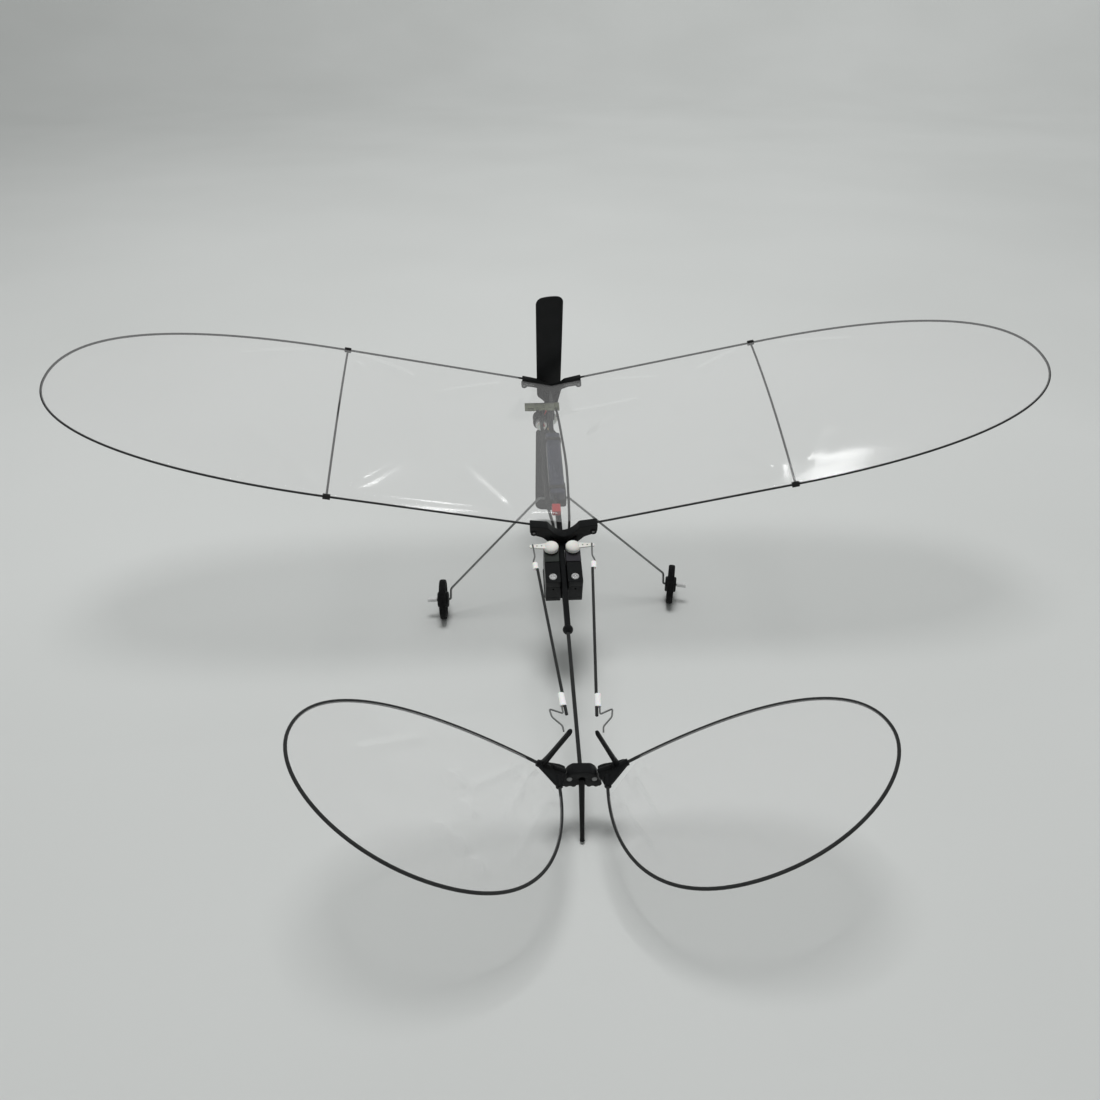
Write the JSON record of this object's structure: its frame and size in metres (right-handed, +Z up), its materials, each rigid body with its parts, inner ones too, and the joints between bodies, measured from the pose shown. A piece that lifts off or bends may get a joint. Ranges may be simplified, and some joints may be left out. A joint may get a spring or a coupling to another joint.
{
  "type": "indoor slow-flyer aeroplane",
  "caption": "Ultralight indoor aeroplane: clear film wing and V-tail on bent carbon rod, stick fuselage, geared propeller, servos, pushrods, wire landing gear and tail skid.",
  "frame": {"origin": "on the floor that the wheels and skid stand on, under the middle of the bounding box", "axes": "+X to the right wing tip, +Y to the nose, +Z up"},
  "size_m": [0.4508, 0.2841, 0.1398],
  "materials": {
    "moulded_nylon": "satin moulded black nylon",
    "propeller_plastic": "satin to glossy black",
    "carbon_rod": "drawn carbon fibre, faint lengthwise grain",
    "clear_film": "clear, thin, slightly wrinkled film",
    "steel_wire": "drawn wire, dull",
    "white_nylon": "moulded white nylon",
    "milky_sleeve": "milky shrink sleeve",
    "motor_steel": "bright drawn can",
    "brass": "bright cut teeth",
    "battery_wrap": "blue-grey foil pouch with a sheen",
    "circuit_board": "olive solder mask",
    "lead_insulation": "red silicone",
    "servo_plastic": "fine-textured black",
    "servo_lid_plastic": "smoother dark grey",
    "foam_tyre": "matt black"
  },
  "bodies": {
    "airframe": {"spine": "moulded_nylon", "front_wing_bracket": "moulded_nylon", "rear_wing_bracket": "moulded_nylon", "gearbox_frame": "moulded_nylon", "gear_clamp": "moulded_nylon", "tail_hub": "moulded_nylon", "tail_skid": "moulded_nylon", "tail_boom": "carbon_rod", "left_wing_loop": "carbon_rod", "right_wing_loop": "carbon_rod", "left_wing_rib": "carbon_rod", "right_wing_rib": "carbon_rod", "left_wing_film": "clear_film", "right_wing_film": "clear_film", "centre_wing_film": "clear_film", "left_gear_leg": "steel_wire", "right_gear_leg": "steel_wire", "left_hinge_pin": "steel_wire", "right_hinge_pin": "steel_wire", "motor_end_cap": "white_nylon", "left_wheel_retainer": "milky_sleeve", "right_wheel_retainer": "milky_sleeve", "motor_can": "motor_steel", "battery": "battery_wrap", "receiver_board": "circuit_board", "battery_lead": "lead_insulation", "left_servo_lead": "lead_insulation", "right_servo_lead": "lead_insulation", "left_servo_case": "servo_plastic", "right_servo_case": "servo_plastic", "left_servo_lid": "servo_lid_plastic", "right_servo_lid": "servo_lid_plastic"},
    "left_wheel": {"left_wheel_hub": "moulded_nylon", "left_wheel_tyre": "foam_tyre"},
    "left_tail_surface": {"left_tail_bracket": "moulded_nylon", "left_tail_loop": "carbon_rod", "left_tail_film": "clear_film"},
    "left_servo_horn": {"left_servo_horn": "white_nylon"},
    "left_pushrod": {"left_pushrod_front_wire": "steel_wire", "left_pushrod_front_sleeve": "milky_sleeve", "left_pushrod": "carbon_rod", "left_pushrod_rear_sleeve": "milky_sleeve", "left_pushrod_rear_wire": "steel_wire"},
    "right_wheel": {"right_wheel_hub": "moulded_nylon", "right_wheel_tyre": "foam_tyre"},
    "right_tail_surface": {"right_tail_bracket": "moulded_nylon", "right_tail_loop": "carbon_rod", "right_tail_film": "clear_film"},
    "right_servo_horn": {"right_servo_horn": "white_nylon"},
    "right_pushrod": {"right_pushrod_front_wire": "steel_wire", "right_pushrod_front_sleeve": "milky_sleeve", "right_pushrod": "carbon_rod", "right_pushrod_rear_sleeve": "milky_sleeve", "right_pushrod_rear_wire": "steel_wire"},
    "propeller": {"propeller": "propeller_plastic", "propeller_shaft": "steel_wire", "spur_gear": "white_nylon"},
    "motor_pinion": {"motor_pinion": "brass"}
  },
  "joints": [
    {"name": "propeller_spin", "type": "hinge", "parent": "airframe", "child": "propeller", "pos_m": [-0.001, 0.13106, 0.07344], "axis": [0, 0.9893, 0.1461], "continuous": true},
    {"name": "pinion_spin", "type": "hinge", "parent": "airframe", "child": "motor_pinion", "pos_m": [-0.00553, 0.12263, 0.07577], "axis": [0, 0.9893, 0.1461], "continuous": true},
    {"name": "left_wheel_spin", "type": "hinge", "parent": "airframe", "child": "left_wheel", "pos_m": [-0.05795, 0.0507, 0.01], "axis": [1, 0, 0], "continuous": true},
    {"name": "left_tail_hinge", "type": "hinge", "parent": "airframe", "child": "left_tail_surface", "pos_m": [-0.00833, -0.0815, 0.02774], "axis": [0.8669, 0, -0.4985], "range_deg": [-12.5, 12.5]},
    {"name": "left_servo_turn", "type": "hinge", "parent": "airframe", "child": "left_servo_horn", "pos_m": [-0.0058, 0.01911, 0.05991], "axis": [0, -0.2613, 0.9652], "range_deg": [-30, 30]},
    {"name": "left_pushrod_slide", "type": "slide", "parent": "airframe", "child": "left_pushrod", "axis": [0.0885, -0.9871, -0.133], "range_m": [-0.0045, 0.0045]},
    {"name": "right_wheel_spin", "type": "hinge", "parent": "airframe", "child": "right_wheel", "pos_m": [0.05795, 0.0575, 0.01], "axis": [0.9781, -0.2079, 0], "continuous": true},
    {"name": "right_tail_hinge", "type": "hinge", "parent": "airframe", "child": "right_tail_surface", "pos_m": [0.0077, -0.0815, 0.02701], "axis": [0.9085, 0, 0.4179], "range_deg": [-12.5, 12.5]},
    {"name": "right_servo_turn", "type": "hinge", "parent": "airframe", "child": "right_servo_horn", "pos_m": [0.0038, 0.01911, 0.05991], "axis": [0, -0.2613, 0.9652], "range_deg": [-30, 30]},
    {"name": "right_pushrod_slide", "type": "slide", "parent": "airframe", "child": "right_pushrod", "axis": [-0.0727, -0.9867, -0.1453], "range_m": [-0.0045, 0.0045]}
  ],
  "couplings": [
    {"joint": "pinion_spin", "follows": "propeller_spin", "ratio": -4},
    {"joint": "left_servo_turn", "follows": "left_tail_hinge", "ratio": 2.3494},
    {"joint": "left_pushrod_slide", "follows": "left_tail_hinge", "m_per_rad": 0.0195},
    {"joint": "right_servo_turn", "follows": "right_tail_hinge", "ratio": -2.3494},
    {"joint": "right_pushrod_slide", "follows": "right_tail_hinge", "m_per_rad": 0.0195}
  ]
}
